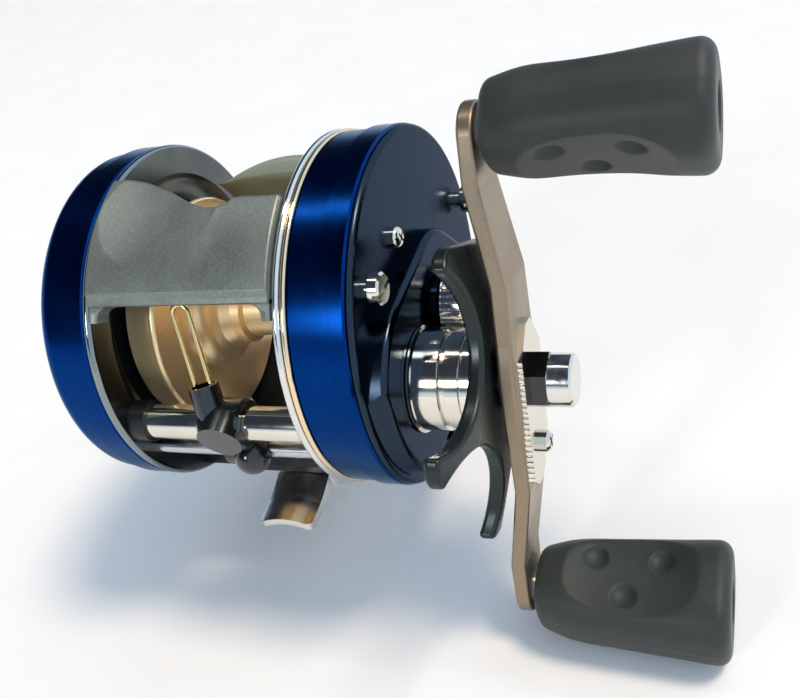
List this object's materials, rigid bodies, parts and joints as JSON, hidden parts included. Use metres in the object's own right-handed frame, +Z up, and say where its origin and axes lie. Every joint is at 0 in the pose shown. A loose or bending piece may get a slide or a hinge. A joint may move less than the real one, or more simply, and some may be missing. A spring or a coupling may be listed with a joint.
{
  "type": "baitcasting reel",
  "caption": "Round baitcasting fishing reel with geared spool, reversing-screw line guide, star drag, double-knob crank, cast-control cap and thumb-bar spool release.",
  "frame": {"origin": "on the axis of the rod that the foot sits on, straight below the spool axis, midway between the frame rings", "axes": "+X along the spool axis towards the crank, +Y along the rod towards its butt end (the line leaves towards -Y), +Z up from the rod to the reel"},
  "size_m": [0.0922, 0.0696, 0.0802],
  "materials": {
    "smoked_ring": "bright plated rims, smoked satin inside",
    "blue_anodised": "deep blue anodised, satin gloss",
    "slate_face": "fine satin slate blue",
    "grey_casting": "mid grey metallic coating with fine sparkle",
    "dark_frame": "dark satin coating",
    "bright_chrome": "polished plating",
    "steel": "ground stainless steel",
    "brass": "machined",
    "gold_wire": "polished gold colour",
    "black_coating": "black satin anodised",
    "bronze_coating": "fine metallic bronze brown",
    "grip_rubber": "soft touch, charcoal",
    "champagne_spool": "champagne anodised, turned",
    "olive_bar": "olive grey metallic, satin",
    "fibre": "dark fibre",
    "nylon": "moulded nylon"
  },
  "bodies": {
    "frame": {"frame_ring_left": "smoked_ring", "frame_ring_right": "smoked_ring", "left_side_plate": "blue_anodised", "right_side_plate": "blue_anodised", "face_plate": "slate_face", "thumb_rest": "grey_casting", "foot_bar": "dark_frame", "rear_cross_bar": "dark_frame", "left_inner_plate": "dark_frame", "gear_bridge": "dark_frame", "tube_sleeve": "dark_frame", "reel_foot": "bright_chrome", "foot_rivets": "bright_chrome", "drive_collar": "bright_chrome", "side_plate_thumbscrews": "bright_chrome", "face_screws": "bright_chrome", "level_wind_tube": "bright_chrome", "guide_rod": "steel", "idler_stud": "steel", "one_way_bearing_shell": "steel", "one_way_rollers": "steel", "left_spool_bearing": "steel", "right_spool_bearing": "steel", "brake_ring": "steel", "worm_bushes": "brass", "cap_shim": "fibre"},
    "crank": {"drive_shaft": "steel", "main_gear": "brass", "ratchet_wheel": "steel", "drag_fibre_washers": "fibre", "drag_metal_washers": "steel", "clutch_sleeve": "steel", "star_spring_washer": "steel", "handle_arm": "bronze_coating", "lock_plate": "bright_chrome", "handle_nut": "bright_chrome", "lock_screw": "bright_chrome", "knob_posts": "steel"},
    "star_drag": {"star_wheel": "black_coating"},
    "upper_knob": {"knob_upper": "grip_rubber"},
    "lower_knob": {"knob_lower": "grip_rubber"},
    "spool_assembly": {"spool": "champagne_spool", "spool_shaft": "steel", "pinion": "brass", "click_wheel": "brass", "spool_cog": "brass", "brake_blocks": "nylon", "brake_block_carrier": "nylon"},
    "idler": {"idler_cog": "nylon"},
    "worm": {"worm_shaft": "steel", "worm_cog": "brass"},
    "line_guide": {"line_guide_carriage": "black_coating", "guide_wire": "gold_wire", "pawl": "steel"},
    "cast_control": {"cast_control_cap": "bright_chrome"},
    "thumb_release": {"thumb_bar": "olive_bar"},
    "yoke": {"clutch_yoke": "steel"},
    "clicker": {"clicker_button": "nylon", "clicker_tongue": "steel"}
  },
  "joints": [
    {"name": "crank_turn", "type": "hinge", "parent": "frame", "child": "crank", "pos_m": [0.038, -0.0125, 0.0338], "axis": [1, 0, 0], "continuous": true},
    {"name": "star_turn", "type": "hinge", "parent": "crank", "child": "star_drag", "pos_m": [0.038, -0.0125, 0.0338], "axis": [1, 0, 0], "range_deg": [-180, 180]},
    {"name": "upper_knob_spin", "type": "hinge", "parent": "crank", "child": "upper_knob", "pos_m": [0.053, -0.00515, 0.06617], "axis": [1, 0, 0], "continuous": true},
    {"name": "lower_knob_spin", "type": "hinge", "parent": "crank", "child": "lower_knob", "pos_m": [0.053, -0.01986, 0.00143], "axis": [1, 0, 0], "continuous": true},
    {"name": "spool_spin", "type": "hinge", "parent": "frame", "child": "spool_assembly", "pos_m": [0, 0, 0.0375], "axis": [1, 0, 0], "continuous": true},
    {"name": "idler_spin", "type": "hinge", "parent": "frame", "child": "idler", "pos_m": [-0.0196, -0.01134, 0.03629], "axis": [1, 0, 0], "continuous": true},
    {"name": "worm_spin", "type": "hinge", "parent": "frame", "child": "worm", "pos_m": [0, -0.0218, 0.0329], "axis": [1, 0, 0], "continuous": true},
    {"name": "line_guide_travel", "type": "slide", "parent": "frame", "child": "line_guide", "axis": [1, 0, 0], "range_m": [-0.0078, 0.008]},
    {"name": "cast_control_turn", "type": "hinge", "parent": "frame", "child": "cast_control", "pos_m": [0.031, 0, 0.0375], "axis": [1, 0, 0], "range_deg": [-180, 180]},
    {"name": "thumb_bar_press", "type": "slide", "parent": "frame", "child": "thumb_release", "axis": [0, 0, -1], "range_m": [0, 0.003]},
    {"name": "yoke_lift", "type": "slide", "parent": "frame", "child": "yoke", "axis": [1, 0, 0], "range_m": [0, 0.0009]},
    {"name": "clicker_slide", "type": "slide", "parent": "frame", "child": "clicker", "axis": [0, 0, -1], "range_m": [0, 0.003]}
  ],
  "couplings": [
    {"joint": "spool_spin", "follows": "crank_turn", "ratio": -5.3},
    {"joint": "idler_spin", "follows": "crank_turn", "ratio": 1.4133},
    {"joint": "worm_spin", "follows": "crank_turn", "ratio": -6.36},
    {"joint": "yoke_lift", "follows": "thumb_bar_press", "ratio": 0.3}
  ]
}
